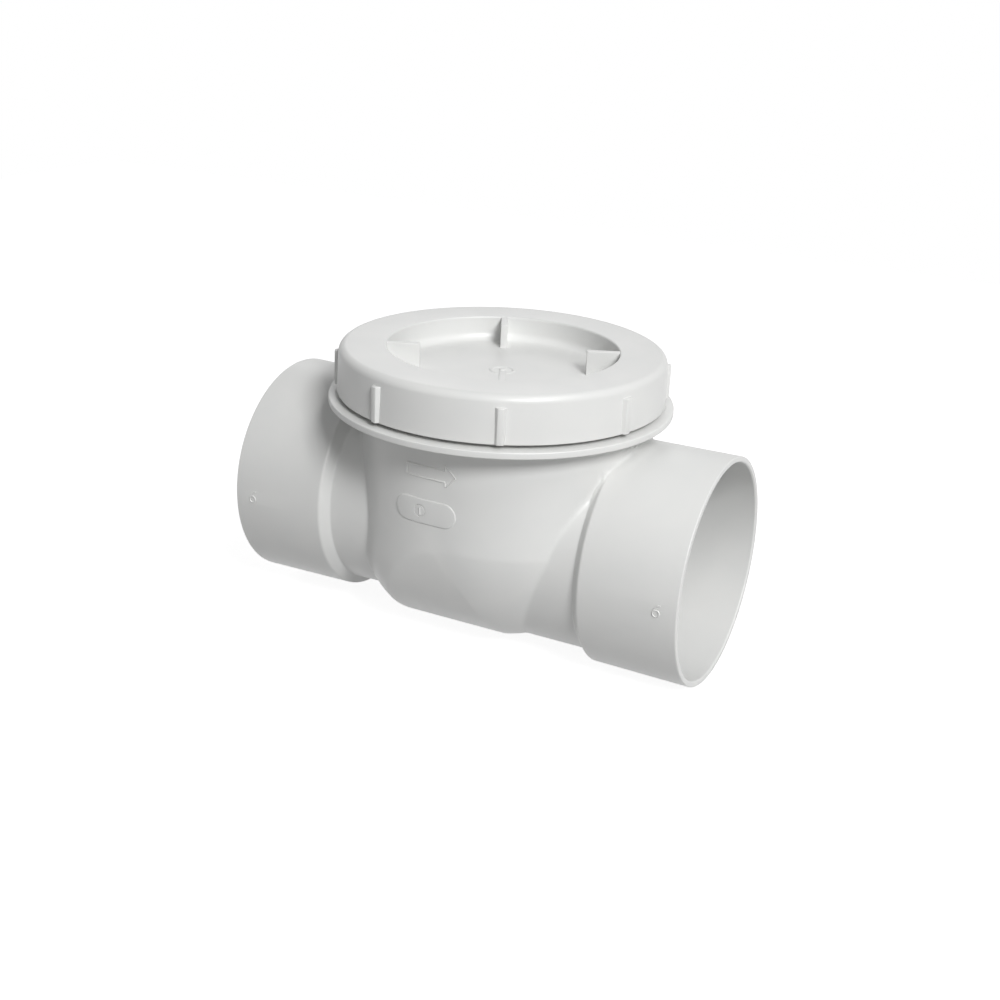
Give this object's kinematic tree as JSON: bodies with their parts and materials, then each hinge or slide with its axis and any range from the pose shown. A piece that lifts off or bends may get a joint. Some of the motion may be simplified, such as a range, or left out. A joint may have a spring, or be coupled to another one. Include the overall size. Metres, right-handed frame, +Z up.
{
  "type": "horizontal swing check backwater valve",
  "caption": "White moulded PVC sewer backwater valve with glued pipe sockets at both ends, a hinged flapper inside and a large screw-on access cap with a dished top",
  "frame": {"origin": "centre of the inlet socket's mouth, on the inlet pipe's axis", "axes": "+X is the direction of flow and the body's length, +Z points up through the access cap, +Y is across"},
  "size_m": [0.36, 0.2546, 0.2219],
  "materials": {
    "white_pvc": "semi-gloss moulded",
    "grey_pvc": "satin moulded",
    "rubber": "matt",
    "stainless": "satin"
  },
  "bodies": {
    "housing": {"valve_body": "white_pvc", "seat_ring": "grey_pvc", "hinge_bracket": "grey_pvc", "hinge_pin": "stainless", "pin_clip_left": "stainless", "pin_clip_right": "stainless", "bracket_screw_left": "stainless", "bracket_screw_right": "stainless"},
    "flapper": {"flapper_disc": "grey_pvc", "flapper_gasket": "rubber", "gasket_retainer": "grey_pvc", "retainer_screw_1": "stainless", "retainer_screw_2": "stainless", "retainer_screw_3": "stainless", "retainer_screw_4": "stainless", "retainer_screw_5": "stainless", "retainer_screw_6": "stainless"},
    "cap_seal": {"cap_o_ring": "rubber"},
    "cap": {"access_cap": "white_pvc"}
  },
  "joints": [
    {"name": "flapper_swing", "type": "hinge", "parent": "housing", "child": "flapper", "pos_m": [0.12094, 0, 0.08614], "axis": [0, -1, 0], "range_deg": [0, 68]},
    {"name": "cap_rise", "type": "slide", "parent": "housing", "child": "cap_seal", "axis": [0, 0, 1], "range_m": [0, 0.032]},
    {"name": "cap_turn", "type": "hinge", "parent": "cap_seal", "child": "cap", "pos_m": [0.18, 0, 0.1], "axis": [0, 0, 1], "range_deg": [0, 1800]}
  ],
  "couplings": [
    {"joint": "cap_rise", "follows": "cap_turn", "m_per_rad": 0.0010106}
  ]
}
